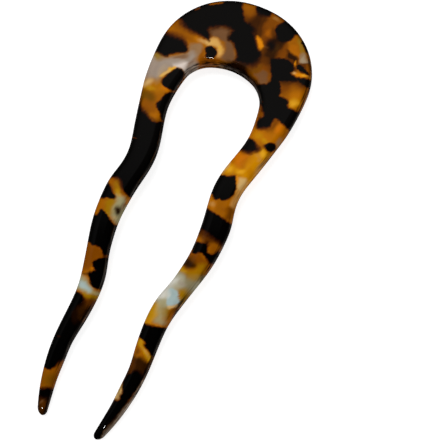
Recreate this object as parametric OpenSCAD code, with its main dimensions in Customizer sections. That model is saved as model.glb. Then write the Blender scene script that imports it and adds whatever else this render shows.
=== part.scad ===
// French hair pin with two wavy legs, cut from a sheet of mottled cellulose acetate and tumbled until
// its edges are round.
// Frame: +Y runs along the pin toward its crown, +X across it, +Z out of its bowed front face.
// The origin lies under the middle of the pin, on the surface that the pin rests on.

/* [Pin] */
// Length from the top of the crown to the ends of the legs
pin_length = 114; // [90:1:150]
// Thickness of the sheet at the crown
sheet_thick = 4; // [3:0.1:6]
// Thickness of a leg at its end
tip_thick = 2.4; // [1.6:0.1:4]
// How far the rounding of the edges reaches in from the outline
edge_round = 2.2; // [1:0.1:3]
// Rise of the bow that the pin makes along its length
bow_rise = 2.4; // [0:0.1:6]

/* [Crown] */
// Width across the shoulders of the crown
crown_width = 39.6; // [34:0.2:50]
// Height of the top of the crown above its shoulders
crown_rise = 26.2; // [24:0.2:34]
// Depth of the crown at its middle, from its top edge to the arch
crown_depth = 19.5; // [14:0.1:21]
// Width of the arch between the shoulders
arch_width = 21; // [16:0.2:26]

/* [Legs] */
// Width of a leg where it leaves the crown
leg_width = 7.2; // [5:0.1:10]
// Width of a leg at its end
tip_width = 2.1; // [1.6:0.1:5]
// Distance between the middles of the two leg ends
tip_gap = 14; // [9:0.5:24]
// How far a leg's waves swing to each side of its straight run
wave_depth = 1.3; // [0:0.1:2.5]
// Length of the rounded nose at the end of a leg
nose_length = 1.3; // [0.6:0.1:3]

/* [Hidden] */

// Rings along half of the pin, steps of a nose, and steps across a quarter of a rounded edge
half_rings = 76;
nose_steps = 6;
edge_steps = 5;
// Most of a section's half width that its rounding may take, so that some flat is left between the edges
most_round = 0.98;

shoulder_y = pin_length / 2 - crown_rise;
arch_rise = crown_rise - crown_depth;
leg_run = pin_length - crown_rise;

// Sections round half of the crown, from its middle to the shoulder. TURN is the angle from +Y.
// OUT and IN say how far the outer and the inner edge lie from the middle of the shoulders, as shares
// of two half ellipses: the crown's width and rise, and the arch's.
TURN = 0;
OUT = 1;
IN = 2;
CROWN = [
    [0, 1.00, 1.00],
    [15, 1.02, 0.995],
    [30, 1.055, 0.985],
    [45, 1.075, 0.975],
    [60, 1.065, 0.955],
    [75, 1.02, 0.93],
    [90, 0.985, 0.945]
];

// Sections down a leg, from under the shoulder to the leg's end. DOWN is a share of the leg's run.
// SWING is how far the leg's middle lies outside its straight run, as a share of the wave's depth.
// WIDE and THICK are 1 at the leg's full size and 0 at its size at the end.
DOWN = 0;
SWING = 1;
WIDE = 2;
THICK = 3;
LEG = [
    [0.05, 0.31, 1.24, 1.00],
    [0.10, 0.25, 1.05, 1.00],
    [0.15, -0.19, 1.02, 1.00],
    [0.20, -0.75, 1.02, 1.00],
    [0.25, -1.07, 0.95, 1.00],
    [0.30, -0.66, 0.92, 1.00],
    [0.35, 0.21, 0.96, 1.00],
    [0.40, 0.73, 0.91, 1.00],
    [0.45, 0.96, 0.83, 1.00],
    [0.50, 0.78, 0.77, 1.00],
    [0.55, 0.30, 0.72, 0.98],
    [0.60, -0.32, 0.75, 0.95],
    [0.65, -0.57, 0.68, 0.91],
    [0.70, -0.32, 0.62, 0.86],
    [0.75, 0.20, 0.56, 0.79],
    [0.80, 0.72, 0.47, 0.70],
    [0.85, 0.86, 0.43, 0.58],
    [0.90, 0.80, 0.32, 0.43],
    [0.95, 0.45, 0.20, 0.24],
    [1.00, -0.10, 0.00, 0.00]
];

function blend(low, high, share) = low + (high - low) * share;

// The end of a crown section that lies at a share of the half ellipse's reach in the section's direction
function crown_end(turn, half_width, rise, share) =
    let (reach = share / norm([sin(turn) / half_width, cos(turn) / rise]))
    [reach * sin(turn), shoulder_y + reach * cos(turn)];

// A section is its outer end's x and y, its inner end's x and y, and its thickness
function crown_section(row) =
    let (outer = crown_end(row[TURN], crown_width / 2, crown_rise, row[OUT]))
    let (inner = crown_end(row[TURN], arch_width / 2, arch_rise, row[IN]))
    [outer.x, outer.y, inner.x, inner.y, sheet_thick];

shoulder = crown_section(CROWN[len(CROWN) - 1]);
root_x = (shoulder[0] + shoulder[2]) / 2;

function leg_section(row) =
    let (y = shoulder_y - row[DOWN] * leg_run)
    let (middle = blend(root_x, tip_gap / 2, row[DOWN]) + row[SWING] * wave_depth)
    let (half = blend(tip_width, leg_width, row[WIDE]) / 2)
    [middle + half, y, middle - half, y, blend(tip_thick, sheet_thick, row[THICK])];

function mirrored(section) = [-section[0], section[1], -section[2], section[3], section[4]];

half_sections = concat([for (row = CROWN) crown_section(row)], [for (row = LEG) leg_section(row)]);
last = len(half_sections) - 1;
sections = concat([for (i = [last:-1:1]) mirrored(half_sections[i])], half_sections);

// A natural cubic spline through values numbered 0, 1, 2 and so on. Its bends are its second derivatives
// there, with none at the two ends. Between them, the bends before and after i and four times the bend
// at i add up to the rise of i, which is six times the second difference of the values. The equations
// are swept down the list, which leaves each bend as a sum less a pull of the next bend, and back up.
function sweep_down(rises, i = 0, pull = 0, sum = undef) =
    i == len(rises) ? [] :
    let (next_pull = 1 / (4 - pull))
    let (next_sum = (is_undef(sum) ? rises[i] : rises[i] - sum) * next_pull)
    concat([[next_pull, next_sum]], sweep_down(rises, i + 1, next_pull, next_sum));

function sweep_up(swept, i, bend) =
    i < 0 ? [] :
    let (next_bend = swept[i][1] - swept[i][0] * bend)
    concat(sweep_up(swept, i - 1, next_bend), [next_bend]);

function spline_bends(values) =
    let (count = len(values))
    let (flat_end = 0 * values[0])
    let (rises = [for (i = [1:count - 2]) 6 * (values[i - 1] - 2 * values[i] + values[i + 1])])
    concat([flat_end], sweep_up(sweep_down(rises), count - 3, flat_end), [flat_end]);

function spline_at(values, bends, place) =
    let (i = min(floor(place), len(values) - 2))
    let (ahead = place - i)
    let (behind = 1 - ahead)
    behind * values[i] + ahead * values[i + 1]
        + (pow(behind, 3) - behind) * bends[i] / 6 + (pow(ahead, 3) - ahead) * bends[i + 1] / 6;

bends = spline_bends(sections);

// Stations along the pin, each a place among the sections and how full its section is there: 1 along
// the pin, and falling to 0 round a nose as the height of a quarter circle does
leg_step = (LEG[1][DOWN] - LEG[0][DOWN]) * leg_run;
nose_start = last - nose_length / leg_step;
half_stations = concat(
    [for (i = [0:half_rings]) [nose_start * i / half_rings, 1]],
    [for (i = [1:nose_steps])
        let (turn = 90 * i / nose_steps)
        [blend(nose_start, last, sin(turn)), cos(turn)]]
);
ends = len(half_stations) - 1;
stations = concat(
    [for (i = [ends:-1:1]) [last - half_stations[i][0], half_stations[i][1]]],
    [for (station = half_stations) [last + station[0], station[1]]]
);

// Angles round a section: the right edge above its widest line, the left edge, and the right below
edge_angles = concat(
    [for (i = [0:edge_steps]) 90 * i / edge_steps],
    [for (i = [0:2 * edge_steps]) 90 + 90 * i / edge_steps],
    [for (i = [0:edge_steps - 1]) 270 + 90 * i / edge_steps]
);
// True for the angles of the outer edge, and false for those of the inner edge
edge_is_outer = concat(
    [for (i = [0:edge_steps]) true],
    [for (i = [0:2 * edge_steps]) false],
    [for (i = [0:edge_steps - 1]) true]
);

// Height of the underside over the surface, for a pin bowed along its length
function bow_height(y) = bow_rise * (1 - pow(2 * y / pin_length, 2));

// Points round one section: two rounded edges with a flat between them, all drawn in by the nose
function ring(station) =
    let (section = spline_at(sections, bends, station[0]))
    let (outer = [section[0], section[1]])
    let (inner = [section[2], section[3]])
    let (middle = (outer + inner) / 2)
    let (half_width = norm(outer - inner) / 2)
    let (across = (outer - inner) / (2 * half_width))
    let (half_thick = section[4] / 2)
    let (reach = min(edge_round, most_round * half_width))
    [for (i = [0:len(edge_angles) - 1])
        let (flat_end = (edge_is_outer[i] ? 1 : -1) * (half_width - reach))
        let (sideways = (flat_end + reach * cos(edge_angles[i])) * station[1])
        let (place = middle + across * sideways)
        [place.x, place.y, bow_height(place.y) + half_thick * (1 + station[1] * sin(edge_angles[i]))]];

ring_count = len(stations) - 2;
ring_points = [for (i = [1:ring_count]) each ring(stations[i])];
nose_points = [ring(stations[0])[0], ring(stations[ring_count + 1])[0]];
lowest = min([for (point = ring_points) point.z]);

// Skin of triangles from ring to ring, closed by a fan at each nose
module swept_skin(points, noses, around, rings) {
    first_nose = len(points);
    far_ring = (rings - 1) * around;
    sides = [for (i = [0:rings - 2]) for (j = [0:around - 1])
        let (a = i * around + j)
        let (b = i * around + (j + 1) % around)
        each [[a, a + around, b + around], [a, b + around, b]]];
    near_fan = [for (j = [0:around - 1]) [first_nose, j, (j + 1) % around]];
    far_fan = [for (j = [0:around - 1]) [first_nose + 1, far_ring + (j + 1) % around, far_ring + j]];
    polyhedron(points = concat(points, noses), faces = concat(sides, near_fan, far_fan), convexity = 6);
}

module hair_pin() {
    color([0.42, 0.22, 0.05])
        translate([0, 0, -lowest])
            swept_skin(ring_points, nose_points, len(edge_angles), ring_count);
}

hair_pin();
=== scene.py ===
import math

import bpy
import numpy as np
from mathutils import Matrix, Vector


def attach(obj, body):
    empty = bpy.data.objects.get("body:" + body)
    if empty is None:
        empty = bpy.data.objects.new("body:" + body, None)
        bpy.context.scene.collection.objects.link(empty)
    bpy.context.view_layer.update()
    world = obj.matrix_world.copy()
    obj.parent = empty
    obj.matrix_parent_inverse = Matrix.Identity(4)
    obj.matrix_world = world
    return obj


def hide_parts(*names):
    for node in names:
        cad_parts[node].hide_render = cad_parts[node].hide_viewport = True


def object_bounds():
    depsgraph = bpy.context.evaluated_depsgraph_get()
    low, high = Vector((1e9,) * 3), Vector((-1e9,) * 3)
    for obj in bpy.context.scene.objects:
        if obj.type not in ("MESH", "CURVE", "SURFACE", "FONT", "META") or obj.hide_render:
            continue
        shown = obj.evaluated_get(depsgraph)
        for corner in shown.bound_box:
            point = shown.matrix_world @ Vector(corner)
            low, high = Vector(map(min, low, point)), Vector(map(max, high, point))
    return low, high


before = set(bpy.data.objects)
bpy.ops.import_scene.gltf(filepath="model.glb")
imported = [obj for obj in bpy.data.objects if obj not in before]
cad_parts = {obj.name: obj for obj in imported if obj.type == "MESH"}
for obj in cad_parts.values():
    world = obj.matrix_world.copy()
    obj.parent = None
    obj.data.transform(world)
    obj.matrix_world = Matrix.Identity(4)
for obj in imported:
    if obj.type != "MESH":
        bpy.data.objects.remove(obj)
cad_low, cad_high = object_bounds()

# Lengths are in millimetres until they go into a mesh or an object.
MM = 0.001

# Sizes of the pin, as the part's source names them
PIN_LENGTH = 114.0
SHEET_THICK = 4.0
TIP_THICK = 2.4
EDGE_ROUND = 2.2
BOW_RISE = 2.4
CROWN_WIDTH = 39.6
CROWN_RISE = 26.2
CROWN_DEPTH = 19.5
ARCH_WIDTH = 21.0
LEG_WIDTH = 7.2
TIP_WIDTH = 2.1
TIP_GAP = 14.0
WAVE_DEPTH = 1.3
NOSE_LENGTH = 1.3
MOST_ROUND = 0.98

SHOULDER_Y = PIN_LENGTH / 2 - CROWN_RISE
ARCH_RISE = CROWN_RISE - CROWN_DEPTH
LEG_RUN = PIN_LENGTH - CROWN_RISE

# Sections round half of the crown: turn from +Y in degrees, and the outer and inner edge as shares of
# the crown's and the arch's half ellipse
CROWN = np.array([
    [0, 1.00, 1.00],
    [15, 1.02, 0.995],
    [30, 1.055, 0.985],
    [45, 1.075, 0.975],
    [60, 1.065, 0.955],
    [75, 1.02, 0.93],
    [90, 0.985, 0.945],
])

# Sections down a leg: share of the leg's run, swing of its middle as a share of the wave's depth, and
# width and thickness as shares of the way from the size at the end to the full size
LEG = np.array([
    [0.05, 0.31, 1.24, 1.00],
    [0.10, 0.25, 1.05, 1.00],
    [0.15, -0.19, 1.02, 1.00],
    [0.20, -0.75, 1.02, 1.00],
    [0.25, -1.07, 0.95, 1.00],
    [0.30, -0.66, 0.92, 1.00],
    [0.35, 0.21, 0.96, 1.00],
    [0.40, 0.73, 0.91, 1.00],
    [0.45, 0.96, 0.83, 1.00],
    [0.50, 0.78, 0.77, 1.00],
    [0.55, 0.30, 0.72, 0.98],
    [0.60, -0.32, 0.75, 0.95],
    [0.65, -0.57, 0.68, 0.91],
    [0.70, -0.32, 0.62, 0.86],
    [0.75, 0.20, 0.56, 0.79],
    [0.80, 0.72, 0.47, 0.70],
    [0.85, 0.86, 0.43, 0.58],
    [0.90, 0.80, 0.32, 0.43],
    [0.95, 0.45, 0.20, 0.24],
    [1.00, -0.10, 0.00, 0.00],
])

# Steps of the visible surface: rings along half of the pin, how much closer together they lie round the
# crown, rings round a nose, and points round a rounded edge, across the face and across the underside
HALF_RINGS = 436
CROWN_DENSITY = 2.2
NOSE_STEPS = 14
EDGE_STEPS = 8
FACE_STEPS = 64
UNDERSIDE_STEPS = 12
# Half of the arc that the skin's girth counts across the flat
FLAT_GIRTH = 9
# Places at which the middle line is measured before the rings are spread along it
MEASURED_PLACES = 4001


def blend(low, high, share):
    """The value a share of the way from low to high."""
    return low + (high - low) * share


def soft_step(low, high, value):
    """0 up to low and 1 from high on, with a smooth S between. Low may be the greater of the two."""
    share = np.clip((value - low) / (high - low), 0, 1)
    return share * share * (3 - 2 * share)


def pin_sections():
    """Sections from the left leg's end over the crown to the right leg's end.

    A crown section runs between two half ellipses in the direction of its turn; a leg section lies
    across the leg, at its middle plus and minus half its width. Each row is the outer end's x and y,
    the inner end's x and y, and the thickness. The left half mirrors the right.
    """
    turn, out, inn = np.radians(CROWN[:, 0]), CROWN[:, 1], CROWN[:, 2]
    reach_out = out / np.hypot(np.sin(turn) / (CROWN_WIDTH / 2), np.cos(turn) / CROWN_RISE)
    reach_in = inn / np.hypot(np.sin(turn) / (ARCH_WIDTH / 2), np.cos(turn) / ARCH_RISE)
    crown = np.stack([
        reach_out * np.sin(turn), SHOULDER_Y + reach_out * np.cos(turn),
        reach_in * np.sin(turn), SHOULDER_Y + reach_in * np.cos(turn),
        np.full(len(turn), SHEET_THICK),
    ], axis=1)
    root_x = (crown[-1, 0] + crown[-1, 2]) / 2
    down, swing, wide, thick = LEG.T
    y = SHOULDER_Y - down * LEG_RUN
    middle = blend(root_x, TIP_GAP / 2, down) + swing * WAVE_DEPTH
    half = blend(TIP_WIDTH, LEG_WIDTH, wide) / 2
    leg = np.stack([middle + half, y, middle - half, y, blend(TIP_THICK, SHEET_THICK, thick)], axis=1)
    right = np.concatenate([crown, leg])
    left = right[:0:-1] * np.array([-1, 1, -1, 1, 1])
    return np.concatenate([left, right])


def spline_bends(values):
    """Second derivatives of the natural cubic spline through values numbered 0, 1, 2 and so on.

    The bends before and after a value and four times its own add up to six times the values' second
    difference, and the two ends have none.
    """
    count = len(values) - 2
    rows = 4 * np.eye(count) + np.eye(count, k=1) + np.eye(count, k=-1)
    inner = np.linalg.solve(rows, 6 * np.diff(values, 2, axis=0))
    return np.pad(inner, ((1, 1), (0, 0)))


def spline_at(values, bends, places):
    """The spline's values at places between its numbered ones."""
    i = np.minimum(np.floor(places).astype(int), len(values) - 2)
    ahead = (places - i)[:, None]
    behind = 1 - ahead
    return (behind * values[i] + ahead * values[i + 1]
            + (behind ** 3 - behind) * bends[i] / 6 + (ahead ** 3 - ahead) * bends[i + 1] / 6)


def bow_height(y):
    """Height of the underside: a parabola along the pin, 0 at its two ends and full at its middle."""
    return BOW_RISE * (1 - (2 * y / PIN_LENGTH) ** 2)


def ring_profile():
    """Steps once round a section: side, cosine and sine of each step.

    Side is 1 on the outer rounding and -1 on the inner, and runs between them over the face and the
    underside; the cosine and sine turn through a half circle round each edge.
    """
    edge = np.linspace(-90, 90, 2 * EDGE_STEPS + 1)
    face = np.linspace(1, -1, FACE_STEPS + 1)[1:-1]
    underside = np.linspace(-1, 1, UNDERSIDE_STEPS + 1)[1:-1]
    side = np.concatenate([np.ones(len(edge)), face, -np.ones(len(edge)), underside])
    angle = np.radians(np.concatenate([
        edge, np.full(len(face), 90.0), edge + 180, np.full(len(underside), 270.0)]))
    return side, np.cos(angle), np.sin(angle)


def pin_stations(values, bends):
    """Places along the spline and how full the section is there.

    They lie evenly along the middle line, closer together round the crown, and fall off round each
    nose as a quarter circle does.
    """
    last = (len(values) - 1) // 2
    nose_start = last - NOSE_LENGTH / (LEG_RUN * (LEG[1, 0] - LEG[0, 0]))
    dense = np.linspace(0, nose_start, MEASURED_PLACES)
    line = spline_at(values, bends, last + dense)
    middle = (line[:, 0:2] + line[:, 2:4]) / 2
    density = blend(CROWN_DENSITY, 1, soft_step(len(CROWN) - 2, len(CROWN), dense[1:]))
    run = np.concatenate([[0], np.cumsum(density * np.hypot(*np.diff(middle, axis=0).T))])
    even = np.interp(np.linspace(0, run[-1], HALF_RINGS + 1), run, dense)
    turn = np.linspace(0, np.pi / 2, NOSE_STEPS + 1)[1:]
    half = np.concatenate([even, blend(nose_start, last, np.sin(turn))])
    full = np.concatenate([np.ones(len(even)), np.cos(turn)])
    return np.concatenate([last - half[:0:-1], last + half]), np.concatenate([full[:0:-1], full])


def pin_surface():
    """The pin's skin as rings of points, each point's turn up or down, from 1 on the face to -1 on the
    underside, the way its edge faces in plan, and its place on the skin: the run down the pin's middle
    line, and the arc up from the widest line of its edge.

    A ring is the section's two rounded edges with a flat between them, set across the spline's middle
    line, raised by the bow and drawn in by the nose. The pin is lowered onto the floor and kept inside
    the box of the part's solid, which these finer steps pass by less than a hundredth of a millimetre.
    """
    values = pin_sections()
    bends = spline_bends(values)
    places, full = pin_stations(values, bends)
    section = spline_at(values, bends, places)
    outer, inner, thick = section[:, 0:2], section[:, 2:4], section[:, 4:5]
    middle = (outer + inner) / 2
    half_width = np.hypot(*(outer - inner).T)[:, None] / 2
    across = (outer - inner) / (2 * half_width)
    side, cosine, sine = ring_profile()
    reach = np.minimum(EDGE_ROUND, MOST_ROUND * half_width)
    sideways = (side * (half_width - reach) + reach * cosine) * full[:, None]
    x = middle[:, 0:1] + across[:, 0:1] * sideways
    y = middle[:, 1:2] + across[:, 1:2] * sideways
    z = bow_height(y) + thick / 2 * (1 + full[:, None] * sine)
    points = np.stack([x, y, z - z.min()], axis=2)
    low, high = np.array(cad_low) / MM, np.array(cad_high) / MM
    run = np.cumsum(np.hypot(*np.diff(middle, axis=0, prepend=middle[:1]).T))[:, None] + 0 * x
    girth = EDGE_ROUND * np.arcsin(sine) + FLAT_GIRTH * side + 0 * x
    outward = across[:, None, :] * np.sign(side)[None, :, None]
    return np.clip(points, low, high), np.broadcast_to(sine, x.shape), outward, np.stack([run, girth], 2)


def skin_mesh(name, rings, **fields):
    """A closed mesh from rings of points: quads from ring to ring, and a fan at each end.

    The first and the last ring have shrunk to a point each, which becomes the pole of its fan. The
    fields, one number or colour for each point, go into the mesh as attributes.
    """
    count, around = rings.shape[:2]
    inner = slice(around, around * (count - 1))
    keep = np.concatenate([np.arange(around * count)[inner], [0, around * count - 1]])
    points = rings.reshape(-1, 3)[keep]
    ring, step = np.meshgrid(np.arange(count - 3), np.arange(around), indexing="ij")
    after = (step + 1) % around
    quads = np.stack([ring * around + step, (ring + 1) * around + step,
                      (ring + 1) * around + after, ring * around + after], axis=2).reshape(-1, 4)
    near, far = len(points) - 2, len(points) - 1
    spot = np.arange(around)
    top = around * (count - 3)
    near_fan = np.stack([np.full(around, near), spot, (spot + 1) % around], axis=1)
    far_fan = np.stack([np.full(around, far), top + (spot + 1) % around, top + spot], axis=1)
    loops = np.concatenate([quads.ravel(), near_fan.ravel(), far_fan.ravel()])
    sizes = np.concatenate([np.full(len(quads), 4), np.full(2 * around, 3)])
    mesh = bpy.data.meshes.new(name)
    mesh.vertices.add(len(points))
    mesh.vertices.foreach_set("co", (points * MM).ravel())
    mesh.loops.add(len(loops))
    mesh.loops.foreach_set("vertex_index", loops)
    mesh.polygons.add(len(sizes))
    mesh.polygons.foreach_set("loop_start", np.cumsum(sizes) - sizes)
    mesh.update(calc_edges=True)
    mesh.polygons.foreach_set("use_smooth", np.ones(len(sizes), bool))
    for field, numbers in fields.items():
        numbers = numbers.reshape(count * around, -1)[keep]
        if numbers.shape[1] == 1:
            mesh.attributes.new(field, "FLOAT", "POINT").data.foreach_set("value", numbers.ravel())
        else:
            opaque = np.concatenate([numbers, np.ones((len(numbers), 1))], axis=1)
            mesh.attributes.new(field, "FLOAT_COLOR", "POINT").data.foreach_set("color", opaque.ravel())
    mesh.validate()
    return mesh


# The sheet's colours, as they look in plain light, in 8-bit steps of red, green and blue
TINTS = {
    "honey": (151, 87, 4),
    "amber": (176, 104, 5),
    "marmalade": (196, 108, 4),
    "saffron": (198, 130, 8),
    "toffee": (134, 74, 6),
    "cinnamon": (116, 61, 6),
    "chestnut": (88, 46, 8),
    "umber": (50, 28, 11),
    "smoke": (28, 18, 12),
    "tangerine": (212, 128, 18),
    "mustard": (150, 108, 12),
    "lemon": (188, 140, 24),
    "gold": (226, 166, 40),
    "peach": (190, 137, 72),
    "apricot": (208, 160, 84),
    "cream": (204, 168, 108),
    "milk": (217, 203, 192),
    "snow": (204, 202, 192),
    "pearl": (162, 146, 120),
    "ash": (152, 136, 122),
    "sand": (142, 110, 76),
    "taupe": (112, 77, 49),
    "olive": (138, 106, 32),
    "bracken": (100, 66, 16),
    "sage": (154, 145, 106),
    "lichen": (130, 120, 90),
    "fog": (162, 156, 132),
    "ice": (156, 174, 172),
}

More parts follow.
